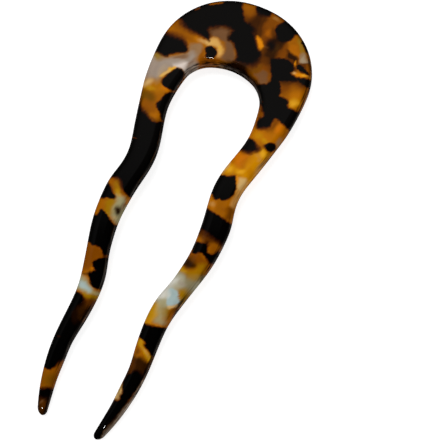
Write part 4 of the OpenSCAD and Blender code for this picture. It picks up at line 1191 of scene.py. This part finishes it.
def make_camera():
    """A camera that looks down at the pin, tilted back from straight down and turned to one side."""
    turn, tilt = math.radians(CAMERA_TURN), math.radians(CAMERA_TILT)
    right = Vector((math.cos(turn), math.sin(turn), 0))
    ahead = Vector((-math.sin(turn), math.cos(turn), 0))
    look = ahead * math.sin(tilt) - Vector((0, 0, 1)) * math.cos(tilt)
    up = right.cross(look)
    camera = bpy.data.objects.new("camera", bpy.data.cameras.new("camera"))
    bpy.context.scene.collection.objects.link(camera)
    camera.data.lens = LENS
    camera.data.clip_start, camera.data.clip_end = NEAREST, FARTHEST
    camera.matrix_world = Matrix.Translation(LOOK_AT - look * CAMERA_AWAY) @ Matrix((
        right, up, -look)).transposed().to_4x4()
    bpy.context.scene.camera = camera


# Studio: half of the floor's side in metres, and how bright the sky is for the pin and for the camera
FLOOR_HALF = 6.0
SKY = 0.36
SEEN_SKY = 0.9
# The grey panel that the gloss mirrors: how bright it is, the way to its middle, how far toward that way
# its soft edge starts and ends, how high up its light starts to rise and ends, and the share that it has
# below that
PANEL = 0.08
PANEL_SIDE = (-0.6, 0.8, 0.0)
PANEL_EDGE = (0.2, 0.34)
PANEL_RISE = (0.1, 0.93)
PANEL_LOW = 0.1
# The soft light overhead: its place and its size in metres, and its power in watts
OVERHEAD = (-0.25, 0.15, 0.7)
OVERHEAD_SIZE = 0.5
OVERHEAD_POWER = 3.6

# Small lamps close over the pin with a narrow beam, each for one glint: the place on the pin, the way
# from there to the lamp, how far away it is, its width and depth, and its power in microwatts. The beam is
# in degrees.
GLINTS = [
    ((-5.81, 38.02, 5.19), (-0.03, 0.156, 0.987), 120.0, 0.7, 12.0, 3.0),
    ((-7.16, -55.36, 2.56), (0.045, -0.31, 0.95), 50.0, 18.0, 1.3, 32.0),
    ((7.72, -53.76, 2.85), (-0.08, -0.3215, 0.944), 50.0, 18.0, 0.6, 28.0),
]
GLINT_BEAM = 6.0
MICROWATT = 1e-6


def make_studio():
    """A pale floor, a pale sky and a soft light overhead, a grey panel to the left and behind for the
    gloss, and a small lamp for each glint."""
    half = FLOOR_HALF
    mesh = bpy.data.meshes.new("floor")
    mesh.from_pydata([(-half, -half, 0), (half, -half, 0), (half, half, 0), (-half, half, 0)], [],
                     [(0, 1, 2, 3)])
    floor = make_piece("floor", mesh, floor_paper())
    floor.visible_glossy = False

    world = bpy.data.worlds.new("studio")
    bpy.context.scene.world = world
    world.use_nodes = True
    n = Nodes(world.node_tree)
    toward = n.place("Generated")
    side = n.add("ShaderNodeVectorMath", {0: toward, 1: PANEL_SIDE}, operation="DOT_PRODUCT")
    panel = n.rescale(side.outputs["Value"], 0.0, PANEL, *PANEL_EDGE, "SMOOTHSTEP")
    height = n.add("ShaderNodeSeparateXYZ", {"Vector": toward}).outputs["Z"]
    panel = n.maths("MULTIPLY", panel, n.rescale(height, PANEL_LOW, 1.0, *PANEL_RISE))
    rays = n.add("ShaderNodeLightPath")
    strength = n.blend(rays.outputs["Is Glossy Ray"], SKY, panel)
    seen = n.blend(rays.outputs["Is Camera Ray"], strength, SEEN_SKY)
    back = n.add("ShaderNodeBackground", {"Color": (1, 1, 1, 1), "Strength": seen})
    n.add("ShaderNodeOutputWorld", {"Surface": back.outputs["Background"]})
    world.cycles.sampling_method = "NONE"

    add_light("soft_overhead", OVERHEAD, OVERHEAD_SIZE, OVERHEAD_SIZE, OVERHEAD_POWER, False)
    for spot, toward, away, wide, deep, power in GLINTS:
        spot = Vector(spot) * MM
        place = spot + Vector(toward).normalized() * away * MM
        glint = add_light("glint", place, wide * MM, deep * MM, power * MICROWATT, True, spot)
        glint.data.spread = math.radians(GLINT_BEAM)
        glint.visible_diffuse = glint.visible_camera = False


def add_light(name, place, wide, deep, power, in_gloss, aim=(0, 0, 0)):
    """An oval light at a place in metres, turned to where it aims."""
    light = bpy.data.lights.new(name, "AREA")
    light.shape = "ELLIPSE"
    light.size, light.size_y = wide, deep
    light.energy = power
    lamp = bpy.data.objects.new(name, light)
    bpy.context.scene.collection.objects.link(lamp)
    lamp.location = place
    lamp.rotation_mode = "QUATERNION"
    lamp.rotation_quaternion = (Vector(place) - Vector(aim)).to_track_quat("Z", "Y")
    lamp.visible_glossy = in_gloss
    return lamp


rings, turned, outward, skin = pin_surface()
places = sheet_places(rings, turned)
# Painted shade in the rounded edges, and the strength of the painted highlight line along them
shade, pale = rim_shade(rings, turned, outward)
pin = make_piece("pin", skin_mesh(
    "pin", rings, tint=sheet_colour(places), dark=sheet_dark(places), shade=shade, pale=pale,
    run=skin[..., 0], girth=skin[..., 1]), tortoiseshell())
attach(pin, "root")
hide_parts("hair_pin")

make_camera()
make_studio()
bpy.context.scene.view_settings.view_transform = "Standard"
